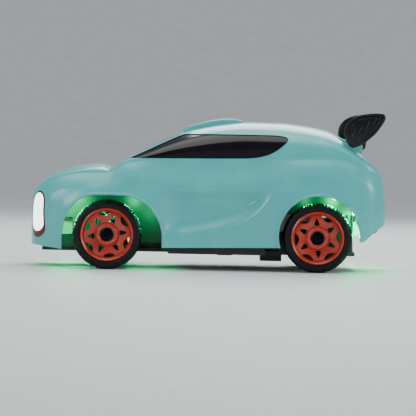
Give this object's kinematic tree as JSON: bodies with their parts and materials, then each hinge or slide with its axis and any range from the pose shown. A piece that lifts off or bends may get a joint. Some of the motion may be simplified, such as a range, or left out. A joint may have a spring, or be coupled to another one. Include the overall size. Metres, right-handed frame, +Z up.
{
  "type": "rc drift car",
  "caption": "Small radio-control drift car: mint hatchback shell that lifts off, side-lit arches, orange dish wheels, black rear wing, steered sprung front axle, motor-driven rear axle.",
  "frame": {"origin": "on the ground under the tyres, midway along the overall length and width", "axes": "+Z up, -Y out of the nose, +X to the car's left side"},
  "size_m": [0.076, 0.166, 0.0744],
  "materials": {
    "mint_shell": "gloss",
    "black_glazing": "gloss",
    "lamp_lens": "gloss",
    "lamp_bezel": "gloss",
    "tail_lens": "gloss",
    "black_trim": "satin",
    "wing_black": "gloss",
    "magnet": "satin",
    "black_chassis": "satin",
    "light_foam": "matte",
    "battery_wrap": "satin",
    "circuit_board": "satin",
    "servo_case": "satin",
    "bright_steel": "satin",
    "dark_screw": "satin",
    "orange_wheel": "gloss",
    "tyre_rubber": "matte",
    "white_nylon": "satin",
    "black_nylon": "satin",
    "motor_steel": "satin",
    "switch_white": "satin"
  },
  "bodies": {
    "chassis": {"chassis_tub": "black_chassis", "front_deck": "black_chassis", "deck_screws": "dark_screw", "kingpins": "bright_steel", "front_bumper": "light_foam", "headlight_board": "circuit_board", "glow_boards": "circuit_board", "battery_pack": "battery_wrap", "control_board": "circuit_board", "steering_servo": "servo_case", "switch_housing": "servo_case", "motor_mount": "black_chassis", "motor_can": "motor_steel", "rear_bearings": "bright_steel", "post_magnets": "magnet", "front_spring_left": "bright_steel", "front_spring_right": "bright_steel"},
    "bodyshell": {"body_shell": "mint_shell", "windscreen": "black_glazing", "rear_window": "black_glazing", "side_window_left": "black_glazing", "side_window_right": "black_glazing", "tail_lamps": "tail_lens", "headlight_lens_left": "lamp_lens", "headlight_lens_right": "lamp_lens", "headlight_bezel_left": "lamp_bezel", "headlight_bezel_right": "lamp_bezel", "front_grille": "black_trim", "roof_scoop": "mint_shell", "roof_spoiler": "mint_shell", "rear_diffuser": "black_trim", "wing_main_plane": "wing_black", "wing_upper_flap": "wing_black", "wing_endplate_left": "wing_black", "wing_endplate_right": "wing_black", "wing_stands": "wing_black", "shell_magnets": "magnet"},
    "steering_link": {"tie_rod": "black_nylon"},
    "steering_horn": {"servo_horn": "white_nylon"},
    "power_knob": {"switch_knob": "switch_white"},
    "rear_drive": {"rear_axle": "bright_steel", "spur_gear": "white_nylon", "rear_rim_left": "orange_wheel", "rear_rim_right": "orange_wheel", "rear_tyre_left": "tyre_rubber", "rear_tyre_right": "tyre_rubber", "rear_screws": "dark_screw"},
    "motor_drive": {"motor_pinion": "bright_steel"},
    "front_slider_left": {"spring_seat_left": "black_nylon"},
    "front_upright_left": {"knuckle_left": "black_nylon", "front_screw_left": "dark_screw"},
    "front_wheel_left": {"front_rim_left": "orange_wheel", "front_tyre_left": "tyre_rubber", "front_bearings_left": "bright_steel"},
    "front_slider_right": {"spring_seat_right": "black_nylon"},
    "front_upright_right": {"knuckle_right": "black_nylon", "front_screw_right": "dark_screw"},
    "front_wheel_right": {"front_rim_right": "orange_wheel", "front_tyre_right": "tyre_rubber", "front_bearings_right": "bright_steel"}
  },
  "joints": [
    {"name": "shell_lift", "type": "slide", "parent": "chassis", "child": "bodyshell", "axis": [0, 0, 1], "range_m": [0, 0.06]},
    {"name": "steering", "type": "slide", "parent": "chassis", "child": "steering_link", "axis": [1, 0, 0], "range_m": [-0.00383, 0.00383]},
    {"name": "horn_turn", "type": "hinge", "parent": "chassis", "child": "steering_horn", "pos_m": [0, -0.0325, 0.0224], "axis": [0, 0, 1], "range_deg": [-34.6, 34.6]},
    {"name": "switch_slide", "type": "slide", "parent": "chassis", "child": "power_knob", "axis": [0, 1, 0], "range_m": [0, 0.002]},
    {"name": "rear_axle_spin", "type": "hinge", "parent": "chassis", "child": "rear_drive", "pos_m": [0, 0.0508, 0.0162], "axis": [1, 0, 0], "continuous": true},
    {"name": "motor_spin", "type": "hinge", "parent": "chassis", "child": "motor_drive", "pos_m": [0.0158, 0.04084, 0.0194], "axis": [1, 0, 0], "continuous": true},
    {"name": "suspension_left", "type": "slide", "parent": "chassis", "child": "front_slider_left", "axis": [0, 0, 1], "range_m": [-0.0008, 0.0015], "stiffness_N_per_m": 600, "deforming": ["front_spring_left"]},
    {"name": "steer_left", "type": "hinge", "parent": "front_slider_left", "child": "front_upright_left", "pos_m": [0.0205, -0.0472, 0.0162], "axis": [0, 0, 1], "range_deg": [-28.1, 28.1]},
    {"name": "wheel_spin_left", "type": "hinge", "parent": "front_upright_left", "child": "front_wheel_left", "pos_m": [0.0305, -0.0472, 0.0162], "axis": [1, 0, 0], "continuous": true},
    {"name": "suspension_right", "type": "slide", "parent": "chassis", "child": "front_slider_right", "axis": [0, 0, 1], "range_m": [-0.0008, 0.0015], "stiffness_N_per_m": 600, "deforming": ["front_spring_right"]},
    {"name": "steer_right", "type": "hinge", "parent": "front_slider_right", "child": "front_upright_right", "pos_m": [-0.0205, -0.0472, 0.0162], "axis": [0, 0, 1], "range_deg": [-28.1, 28.1]},
    {"name": "wheel_spin_right", "type": "hinge", "parent": "front_upright_right", "child": "front_wheel_right", "pos_m": [-0.0305, -0.0472, 0.0162], "axis": [1, 0, 0], "continuous": true}
  ],
  "couplings": [
    {"joint": "motor_spin", "follows": "rear_axle_spin", "ratio": -3.3333},
    {"joint": "horn_turn", "follows": "steering", "rad_per_m": 157.11},
    {"joint": "steer_left", "follows": "steering", "rad_per_m": -127.55},
    {"joint": "steer_right", "follows": "steering", "rad_per_m": -127.55}
  ]
}
